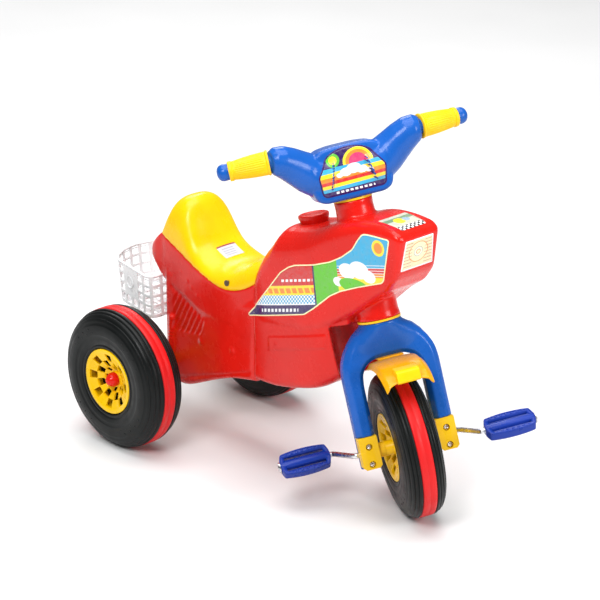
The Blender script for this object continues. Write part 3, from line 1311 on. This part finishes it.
def screws():
    """Pan heads with a cross slot, deep in the clamps' recesses."""
    heads = []
    for side in (1, -1):
        for s in (11, -15):
            across = Matrix.Translation(Vector((13, side * 59, s)))
            space = STEERED @ across @ Matrix.Rotation(math.pi / 2, 4, "Y")
            outline = [(0, -23), (2.4, -23), (2.4, 0), (4.6, 0), (4.5, 1.2), (3.4, 2.4), (0, 2.9)]
            head = lathe("head", outline, space, 32)
            for long, wide in ((2.8, 0.5), (0.5, 2.8)):
                cut(head, [box("slot", (-long, -wide, 1.5), (long, wide, 4), space)])
            heads.append(head)
    put(join("clamp_screw_heads", heads), "steering", "steel", STEEL, "clamp_screws")


# ---------------------------------------------------------------- cranks and pedals

def crank():
    """One bent rod from pedal to pedal."""
    high = cad_box("crank_axle", STEERED)[1]
    end, arm, spindle, throw, r = high.y, 78.0, 99.5, high.x - 4.0, 3.95
    keys = [(0, 0), (0, arm - 9), (0, arm - 3), (2.5, arm + 1.5), (throw / 2, (arm + spindle) / 2),
            (throw - 2.5, spindle - 1.5), (throw, spindle + 2.5), (throw, spindle + 8), (throw, end)]
    half = [(*catmull(keys, i / 8), 0.0) for i in range((len(keys) - 1) * 8 + 1)]
    points = [(-x, -y, 0.0) for x, y, _ in reversed(half[1:])] + half
    obj = tube("crank_rod", points, r, STEERED, 24)
    put(obj, "front_wheel", "steel", STEEL, "crank_axle")
    keep("pedal_push_nuts", STEEL, 0.4)


def pedal(side, name):
    """Barrel-sided block on a sleeve, with two long slots, raised rims and rows of studs."""
    node = f"pedal_{name}"
    middle = sum(cad_box(node, STEERED), Vector()) / 2
    pitch = math.radians(34 if side > 0 else 50)
    local = STEERED @ Matrix.Translation(middle) @ Matrix.Rotation(pitch, 4, "Y")
    half_l, half_d, half_t = 38.0, 20.0, 7.5
    bow = [(half_d - 3.4 * t * t, t * (half_l - 3.5)) for t in [k / 6 - 1 for k in range(13)]]
    outline = bow + [(6, half_l), (-6, half_l)] + [(-x, y) for x, y in reversed(bow)]
    outline = rounded(outline + [(-6, -half_l), (6, -half_l)], 2.5, 3)
    blank = prism("pedal", outline, 1.3 - half_t, half_t - 1.3, local, "xy")
    round_edges(blank, 1.6, 3, 50)
    cut(blank, [box("slot", (x - 3, -30, -12), (x + 3, 30, 12), local, 1.6) for x in (-9, 9)])
    along = local @ Matrix.Rotation(-math.pi / 2, 4, "X")
    sleeve = [(4.06, -half_l), (6.8, -half_l), (7.2, -half_l + 1), (7.2, half_l - 1),
              (6.8, half_l), (4.06, half_l)]
    parts = [blank, lathe("sleeve", sleeve, along, 48)]
    for face in (1, -1):
        z = face * (half_t - 1.2)
        edge = [(x, y, z) for x, y in inset(outline, 1.3)]
        parts.append(tube("rim", edge + edge[:2], 1.1, local, 8))
        for x in (-15.3, 15.3):
            for k in range(7):
                stud = local @ Matrix.Translation(Vector((x, 8.2 * (k - 3), z - face * 1.0)))
                stud = stud @ Matrix.Diagonal((1, 1, face, 1))
                dome = [(0, 0), (2.2, 0), (2.1, 1.4), (1.3, 2.0), (0, 2.1)]
                parts.append(lathe("stud", dome, stud, 14))
    return put(join(f"pedal_skin_{name}", parts), node, "pedal_blue", PEDAL_BLUE, node)


# ---------------------------------------------------------------- studio

def studio():
    floor_mat = Nodes("studio_floor")
    cloud = floor_mat.ramp(floor_mat.noise(2, 2), 0.3, 0.7, 0.0, 1.0)
    floor_mat.link(floor_mat.mix(cloud, (0.78, 0.78, 0.78, 1), (0.82, 0.82, 0.82, 1)),
                   floor_mat.shader.inputs["Base Color"])
    floor_mat.set(Roughness=0.75)
    mesh = bpy.data.meshes.new("floor")
    r = 14.0
    mesh.from_pydata([(-r, -r, 0), (r, -r, 0), (r, r, 0), (-r, r, 0)], [], [(0, 1, 2, 3)])
    floor = bpy.data.objects.new("floor", mesh)
    bpy.context.scene.collection.objects.link(floor)
    mesh.materials.append(floor_mat.mat)

    world = bpy.data.worlds.new("studio")
    bpy.context.scene.world = world
    world.use_nodes = True
    back = world.node_tree.nodes["Background"]
    back.inputs["Color"].default_value = (1, 1, 1, 1)
    back.inputs["Strength"].default_value = 0.22
    for name, place, size, power in (
        ("key", (1.2, -2.2, 2.6), 1.2, 66), ("rim", (-2.0, 1.4, 2.2), 1.4, 30),
        ("front", (2.8, 0.6, 1.4), 1.0, 34), ("top", (0.2, 0.0, 3.4), 3.0, 120),
    ):
        light = bpy.data.lights.new(name, "AREA")
        light.size = size
        light.energy = power
        obj = bpy.data.objects.new(name, light)
        bpy.context.scene.collection.objects.link(obj)
        obj.location = place
        aim = Vector((0.22, 0, 0.25)) - Vector(place)
        obj.rotation_euler = aim.to_track_quat("-Z", "Y").to_euler()
    scene = bpy.context.scene
    scene.view_settings.view_transform = "Standard"


def camera():
    data = bpy.data.cameras.new("camera")
    data.lens, data.sensor_width = 189.46, 36.0
    data.clip_start, data.clip_end = 0.1, 60
    obj = bpy.data.objects.new("camera", data)
    bpy.context.scene.collection.objects.link(obj)
    right, up = Vector((0.6792, 0.7340, 0)), Vector((-0.2776, 0.2569, 0.9257))
    eye = Vector((3.4369, -2.9550, 2.0207))
    aim = Vector((0.2433, 0, 0.2433)) + 0.0224 * up - 0.00127 * right
    obj.location = eye
    obj.rotation_mode = "QUATERNION"
    obj.rotation_quaternion = (aim - eye).to_track_quat("-Z", "Y")
    bpy.context.scene.camera = obj


# ---------------------------------------------------------------- assembly

camera()
studio()
seat_skin = seat()
body_skin = body()
side_films(body_skin)
head_films(body_skin)
seat_film(seat_skin)
tank_cap()
basket()
rear_fittings()
wheels()
bar_skin = handlebar()
grip(1, "left")
grip(-1, "right")
dash_film(bar_skin)
fork()
mudguard()
small_steering_parts()
crank()
pedal(1, "left")
pedal(-1, "right")
